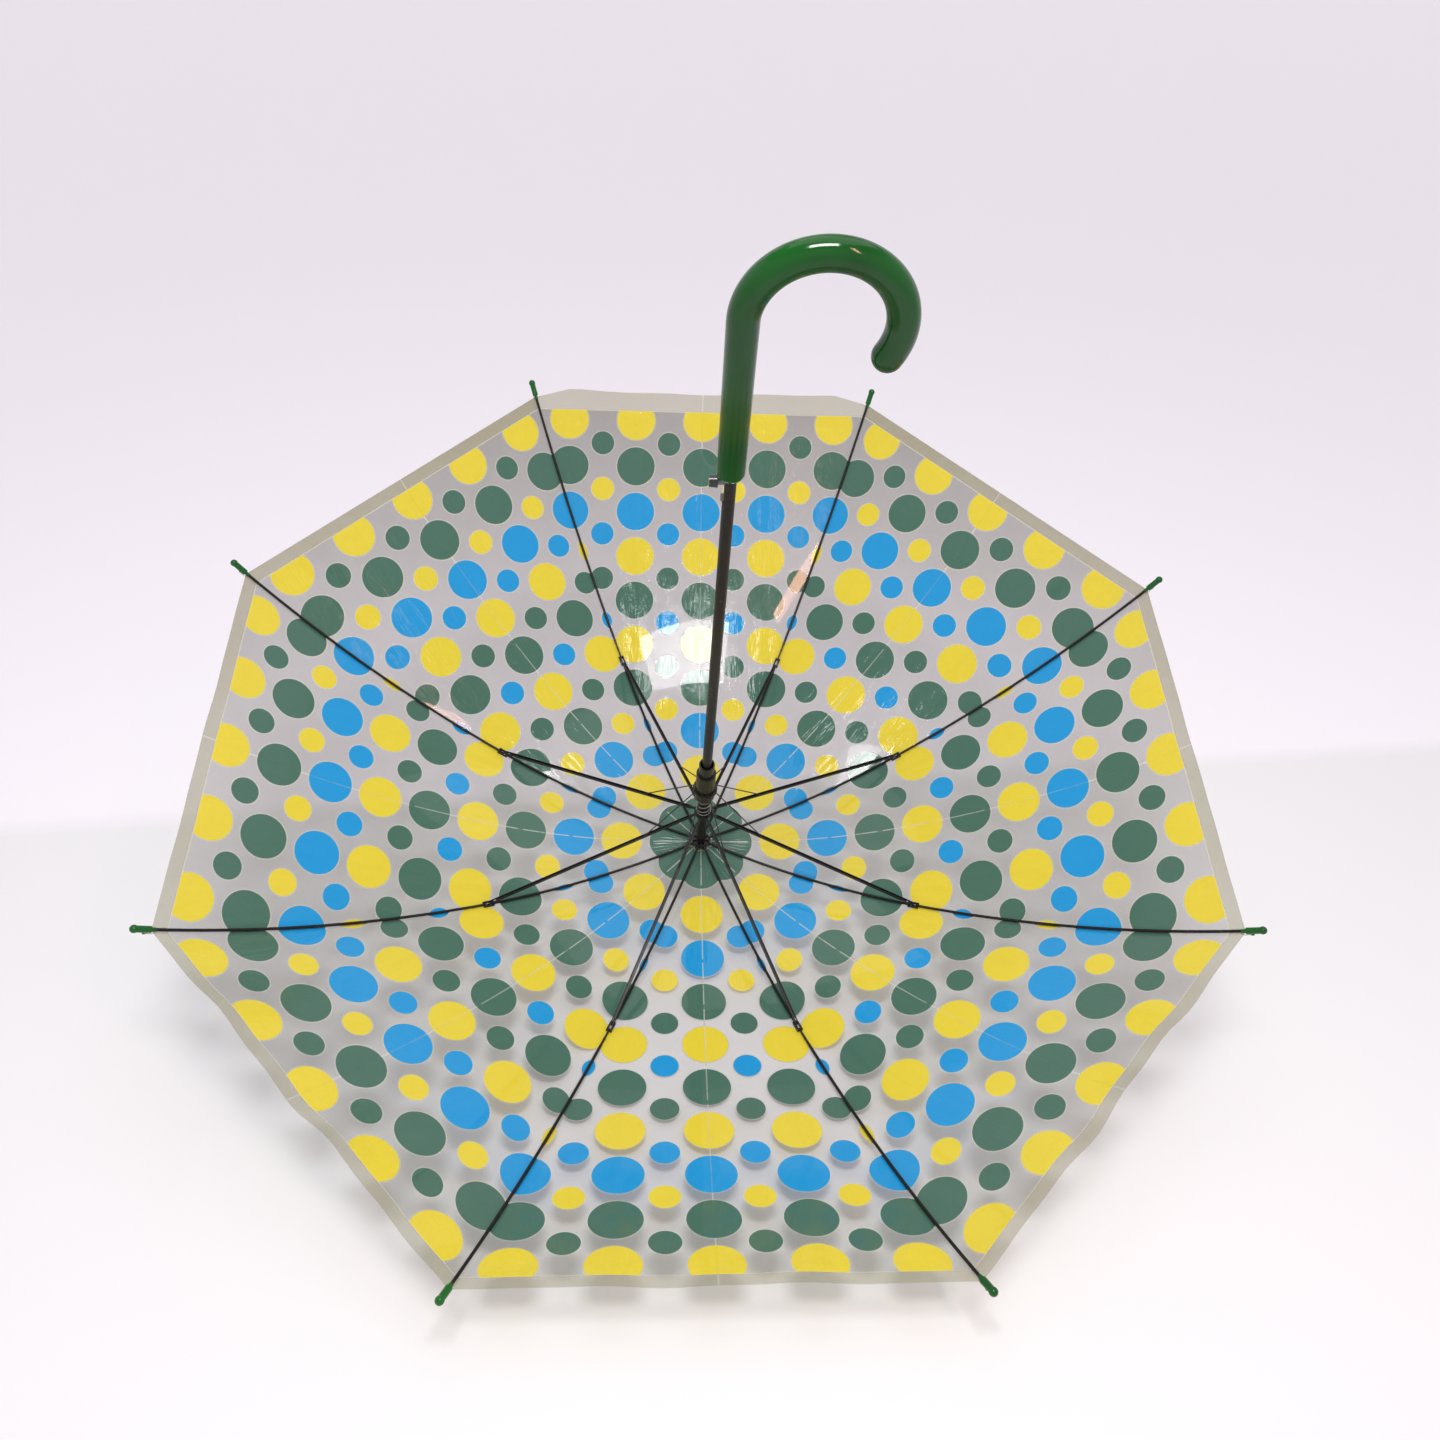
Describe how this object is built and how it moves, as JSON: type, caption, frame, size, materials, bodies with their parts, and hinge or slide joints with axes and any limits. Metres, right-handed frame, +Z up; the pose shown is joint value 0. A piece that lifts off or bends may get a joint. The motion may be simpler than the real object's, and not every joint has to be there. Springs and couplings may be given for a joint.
{
  "type": "umbrella",
  "caption": "Clear dome stick umbrella with a dotted film canopy, hooked handle, folding ribs and stretchers, runner with spring cup, and push button.",
  "frame": {"origin": "on the floor, midway across the open canopy", "axes": "+Z up from the floor the open umbrella lies on; +X the way the handle hooks; the inside of the canopy faces up and to -Y"},
  "size_m": [0.9732, 0.8886, 0.7471],
  "materials": {
    "shaft": "satin dark brown",
    "handle": "glossy green",
    "ferrule": "glossy green",
    "black_plastic": "satin black",
    "steel_wire": "bright",
    "spring_steel": "bright",
    "rib_steel": "black",
    "tip_plastic": "glossy green",
    "film": "clear with printed dots",
    "button_plastic": "black"
  },
  "bodies": {
    "frame": {"shaft": "shaft", "handle": "handle", "ferrule": "ferrule", "crown_notch": "black_plastic", "crown_wire": "steel_wire", "button_spring": "spring_steel"},
    "button": {"button": "button_plastic"},
    "rib_1": {"rib_1": "rib_steel", "canopy_1": "film"},
    "rib_end_1": {"rib_end_1": "rib_steel", "tip_cap_1": "tip_plastic"},
    "stretcher_1": {"stretcher_1": "rib_steel"},
    "link_1": {"link_1": "rib_steel"},
    "rib_2": {"rib_2": "rib_steel", "canopy_2": "film"},
    "rib_end_2": {"rib_end_2": "rib_steel", "tip_cap_2": "tip_plastic"},
    "stretcher_2": {"stretcher_2": "rib_steel"},
    "link_2": {"link_2": "rib_steel"},
    "rib_3": {"rib_3": "rib_steel", "canopy_3": "film"},
    "rib_end_3": {"rib_end_3": "rib_steel", "tip_cap_3": "tip_plastic"},
    "stretcher_3": {"stretcher_3": "rib_steel"},
    "link_3": {"link_3": "rib_steel"},
    "rib_4": {"rib_4": "rib_steel", "canopy_4": "film"},
    "rib_end_4": {"rib_end_4": "rib_steel", "tip_cap_4": "tip_plastic"},
    "stretcher_4": {"stretcher_4": "rib_steel"},
    "link_4": {"link_4": "rib_steel"},
    "rib_5": {"rib_5": "rib_steel", "canopy_5": "film"},
    "rib_end_5": {"rib_end_5": "rib_steel", "tip_cap_5": "tip_plastic"},
    "stretcher_5": {"stretcher_5": "rib_steel"},
    "link_5": {"link_5": "rib_steel"},
    "rib_6": {"rib_6": "rib_steel", "canopy_6": "film"},
    "rib_end_6": {"rib_end_6": "rib_steel", "tip_cap_6": "tip_plastic"},
    "stretcher_6": {"stretcher_6": "rib_steel"},
    "link_6": {"link_6": "rib_steel"},
    "rib_7": {"rib_7": "rib_steel", "canopy_7": "film"},
    "rib_end_7": {"rib_end_7": "rib_steel", "tip_cap_7": "tip_plastic"},
    "stretcher_7": {"stretcher_7": "rib_steel"},
    "link_7": {"link_7": "rib_steel"},
    "rib_8": {"rib_8": "rib_steel", "canopy_8": "film"},
    "rib_end_8": {"rib_end_8": "rib_steel", "tip_cap_8": "tip_plastic"},
    "stretcher_8": {"stretcher_8": "rib_steel"},
    "link_8": {"link_8": "rib_steel"},
    "runner": {"runner": "black_plastic", "runner_wire": "steel_wire", "spring": "spring_steel"},
    "spring_cup": {"spring_cup": "black_plastic"}
  },
  "joints": [
    {"name": "canopy_fold", "type": "hinge", "parent": "frame", "child": "rib_1", "pos_m": [0.00268, 0.08396, 0.0616], "axis": [-0.9239, -0.3492, -0.1565], "range_deg": [0, 80], "deforming": ["canopy_1", "canopy_2", "canopy_3", "canopy_4", "canopy_5", "canopy_6", "canopy_7", "canopy_8", "spring"]},
    {"name": "rib_bend_1", "type": "hinge", "parent": "rib_1", "child": "rib_end_1", "pos_m": [0.0931, -0.12883, 0.00263], "axis": [-0.9239, -0.3492, -0.1565], "range_deg": [-25.35, 0]},
    {"name": "stretcher_fold_1", "type": "hinge", "parent": "rib_1", "child": "stretcher_1", "pos_m": [0.0931, -0.12883, 0.00263], "axis": [-0.9239, -0.3492, -0.1565], "range_deg": [-160, 0]},
    {"name": "link_fold_1", "type": "hinge", "parent": "stretcher_1", "child": "link_1", "pos_m": [0.02542, 0.01012, 0.09214], "axis": [-0.9239, -0.3492, -0.1565], "range_deg": [0, 34.05]},
    {"name": "rib_fold_2", "type": "hinge", "parent": "frame", "child": "rib_2", "pos_m": [0.00647, 0.08742, 0.06315], "axis": [-0.3827, -0.8431, -0.3778], "range_deg": [0, 80]},
    {"name": "rib_bend_2", "type": "hinge", "parent": "rib_2", "child": "rib_end_2", "pos_m": [0.22477, -0.00868, 0.05647], "axis": [-0.3827, -0.8431, -0.3778], "range_deg": [-25.35, 0]},
    {"name": "stretcher_fold_2", "type": "hinge", "parent": "rib_2", "child": "stretcher_2", "pos_m": [0.22477, -0.00868, 0.05647], "axis": [-0.3827, -0.8431, -0.3778], "range_deg": [-160, 0]},
    {"name": "link_fold_2", "type": "hinge", "parent": "stretcher_2", "child": "link_2", "pos_m": [0.06136, 0.04292, 0.10684], "axis": [-0.3827, -0.8431, -0.3778], "range_deg": [0, 34.05]},
    {"name": "rib_fold_3", "type": "hinge", "parent": "frame", "child": "rib_3", "pos_m": [0.00647, 0.09231, 0.06534], "axis": [0.3827, -0.8431, -0.3778], "range_deg": [0, 80]},
    {"name": "rib_bend_3", "type": "hinge", "parent": "rib_3", "child": "rib_end_3", "pos_m": [0.22477, 0.16124, 0.13263], "axis": [0.3827, -0.8431, -0.3778], "range_deg": [-25.35, 0]},
    {"name": "stretcher_fold_3", "type": "hinge", "parent": "rib_3", "child": "stretcher_3", "pos_m": [0.22477, 0.16124, 0.13263], "axis": [0.3827, -0.8431, -0.3778], "range_deg": [-160, 0]},
    {"name": "link_fold_3", "type": "hinge", "parent": "stretcher_3", "child": "link_3", "pos_m": [0.06136, 0.08931, 0.12763], "axis": [0.3827, -0.8431, -0.3778], "range_deg": [0, 34.05]},
    {"name": "rib_fold_4", "type": "hinge", "parent": "frame", "child": "rib_4", "pos_m": [0.00268, 0.09576, 0.06689], "axis": [0.9239, -0.3492, -0.1565], "range_deg": [0, 80]},
    {"name": "rib_bend_4", "type": "hinge", "parent": "rib_4", "child": "rib_end_4", "pos_m": [0.0931, 0.28139, 0.18647], "axis": [0.9239, -0.3492, -0.1565], "range_deg": [-25.35, 0]},
    {"name": "stretcher_fold_4", "type": "hinge", "parent": "rib_4", "child": "stretcher_4", "pos_m": [0.0931, 0.28139, 0.18647], "axis": [0.9239, -0.3492, -0.1565], "range_deg": [-160, 0]},
    {"name": "link_fold_4", "type": "hinge", "parent": "stretcher_4", "child": "link_4", "pos_m": [0.02542, 0.12211, 0.14233], "axis": [0.9239, -0.3492, -0.1565], "range_deg": [0, 34.05]},
    {"name": "rib_fold_5", "type": "hinge", "parent": "frame", "child": "rib_5", "pos_m": [-0.00268, 0.09576, 0.06689], "axis": [0.9239, 0.3492, 0.1565], "range_deg": [0, 80]},
    {"name": "rib_bend_5", "type": "hinge", "parent": "rib_5", "child": "rib_end_5", "pos_m": [-0.0931, 0.28139, 0.18647], "axis": [0.9239, 0.3492, 0.1565], "range_deg": [-25.35, 0]},
    {"name": "stretcher_fold_5", "type": "hinge", "parent": "rib_5", "child": "stretcher_5", "pos_m": [-0.0931, 0.28139, 0.18647], "axis": [0.9239, 0.3492, 0.1565], "range_deg": [-160, 0]},
    {"name": "link_fold_5", "type": "hinge", "parent": "stretcher_5", "child": "link_5", "pos_m": [-0.02542, 0.12211, 0.14233], "axis": [0.9239, 0.3492, 0.1565], "range_deg": [0, 34.05]},
    {"name": "rib_fold_6", "type": "hinge", "parent": "frame", "child": "rib_6", "pos_m": [-0.00647, 0.09231, 0.06534], "axis": [0.3827, 0.8431, 0.3778], "range_deg": [0, 80]},
    {"name": "rib_bend_6", "type": "hinge", "parent": "rib_6", "child": "rib_end_6", "pos_m": [-0.22477, 0.16124, 0.13263], "axis": [0.3827, 0.8431, 0.3778], "range_deg": [-25.35, 0]},
    {"name": "stretcher_fold_6", "type": "hinge", "parent": "rib_6", "child": "stretcher_6", "pos_m": [-0.22477, 0.16124, 0.13263], "axis": [0.3827, 0.8431, 0.3778], "range_deg": [-160, 0]},
    {"name": "link_fold_6", "type": "hinge", "parent": "stretcher_6", "child": "link_6", "pos_m": [-0.06136, 0.08931, 0.12763], "axis": [0.3827, 0.8431, 0.3778], "range_deg": [0, 34.05]},
    {"name": "rib_fold_7", "type": "hinge", "parent": "frame", "child": "rib_7", "pos_m": [-0.00647, 0.08742, 0.06315], "axis": [-0.3827, 0.8431, 0.3778], "range_deg": [0, 80]},
    {"name": "rib_bend_7", "type": "hinge", "parent": "rib_7", "child": "rib_end_7", "pos_m": [-0.22477, -0.00868, 0.05647], "axis": [-0.3827, 0.8431, 0.3778], "range_deg": [-25.35, 0]},
    {"name": "stretcher_fold_7", "type": "hinge", "parent": "rib_7", "child": "stretcher_7", "pos_m": [-0.22477, -0.00868, 0.05647], "axis": [-0.3827, 0.8431, 0.3778], "range_deg": [-160, 0]},
    {"name": "link_fold_7", "type": "hinge", "parent": "stretcher_7", "child": "link_7", "pos_m": [-0.06136, 0.04292, 0.10684], "axis": [-0.3827, 0.8431, 0.3778], "range_deg": [0, 34.05]},
    {"name": "rib_fold_8", "type": "hinge", "parent": "frame", "child": "rib_8", "pos_m": [-0.00268, 0.08396, 0.0616], "axis": [-0.9239, 0.3492, 0.1565], "range_deg": [0, 80]},
    {"name": "rib_bend_8", "type": "hinge", "parent": "rib_8", "child": "rib_end_8", "pos_m": [-0.0931, -0.12883, 0.00263], "axis": [-0.9239, 0.3492, 0.1565], "range_deg": [-25.35, 0]},
    {"name": "stretcher_fold_8", "type": "hinge", "parent": "rib_8", "child": "stretcher_8", "pos_m": [-0.0931, -0.12883, 0.00263], "axis": [-0.9239, 0.3492, 0.1565], "range_deg": [-160, 0]},
    {"name": "link_fold_8", "type": "hinge", "parent": "stretcher_8", "child": "link_8", "pos_m": [-0.02542, 0.01012, 0.09214], "axis": [-0.9239, 0.3492, 0.1565], "range_deg": [0, 34.05]},
    {"name": "runner_ride", "type": "hinge", "parent": "stretcher_1", "child": "runner", "pos_m": [0.00268, 0.0568, 0.12221], "axis": [-0.9239, -0.3492, -0.1565], "range_deg": [0, 80]},
    {"name": "cup_slide", "type": "slide", "parent": "runner", "child": "spring_cup", "axis": [0, -0.409, 0.9125], "range_m": [-0.0291, 0]},
    {"name": "button_press", "type": "slide", "parent": "frame", "child": "button", "axis": [1, 0, 0], "range_m": [0, 0.0026], "stiffness_N_per_m": 500, "springref_m": -0.002, "deforming": ["button_spring"]}
  ],
  "couplings": [
    {"joint": "rib_bend_1", "follows": "canopy_fold", "ratio": -0.31688},
    {"joint": "stretcher_fold_1", "follows": "canopy_fold", "ratio": -2},
    {"joint": "link_fold_1", "follows": "canopy_fold", "ratio": 0.42567},
    {"joint": "rib_fold_2", "follows": "canopy_fold", "ratio": 1},
    {"joint": "rib_bend_2", "follows": "canopy_fold", "ratio": -0.31688},
    {"joint": "stretcher_fold_2", "follows": "canopy_fold", "ratio": -2},
    {"joint": "link_fold_2", "follows": "canopy_fold", "ratio": 0.42567},
    {"joint": "rib_fold_3", "follows": "canopy_fold", "ratio": 1},
    {"joint": "rib_bend_3", "follows": "canopy_fold", "ratio": -0.31688},
    {"joint": "stretcher_fold_3", "follows": "canopy_fold", "ratio": -2},
    {"joint": "link_fold_3", "follows": "canopy_fold", "ratio": 0.42567},
    {"joint": "rib_fold_4", "follows": "canopy_fold", "ratio": 1},
    {"joint": "rib_bend_4", "follows": "canopy_fold", "ratio": -0.31688},
    {"joint": "stretcher_fold_4", "follows": "canopy_fold", "ratio": -2},
    {"joint": "link_fold_4", "follows": "canopy_fold", "ratio": 0.42567},
    {"joint": "rib_fold_5", "follows": "canopy_fold", "ratio": 1},
    {"joint": "rib_bend_5", "follows": "canopy_fold", "ratio": -0.31688},
    {"joint": "stretcher_fold_5", "follows": "canopy_fold", "ratio": -2},
    {"joint": "link_fold_5", "follows": "canopy_fold", "ratio": 0.42567},
    {"joint": "rib_fold_6", "follows": "canopy_fold", "ratio": 1},
    {"joint": "rib_bend_6", "follows": "canopy_fold", "ratio": -0.31688},
    {"joint": "stretcher_fold_6", "follows": "canopy_fold", "ratio": -2},
    {"joint": "link_fold_6", "follows": "canopy_fold", "ratio": 0.42567},
    {"joint": "rib_fold_7", "follows": "canopy_fold", "ratio": 1},
    {"joint": "rib_bend_7", "follows": "canopy_fold", "ratio": -0.31688},
    {"joint": "stretcher_fold_7", "follows": "canopy_fold", "ratio": -2},
    {"joint": "link_fold_7", "follows": "canopy_fold", "ratio": 0.42567},
    {"joint": "rib_fold_8", "follows": "canopy_fold", "ratio": 1},
    {"joint": "rib_bend_8", "follows": "canopy_fold", "ratio": -0.31688},
    {"joint": "stretcher_fold_8", "follows": "canopy_fold", "ratio": -2},
    {"joint": "link_fold_8", "follows": "canopy_fold", "ratio": 0.42567},
    {"joint": "runner_ride", "follows": "canopy_fold", "ratio": 1},
    {"joint": "cup_slide", "follows": "canopy_fold", "m_per_rad": -0.02084}
  ]
}
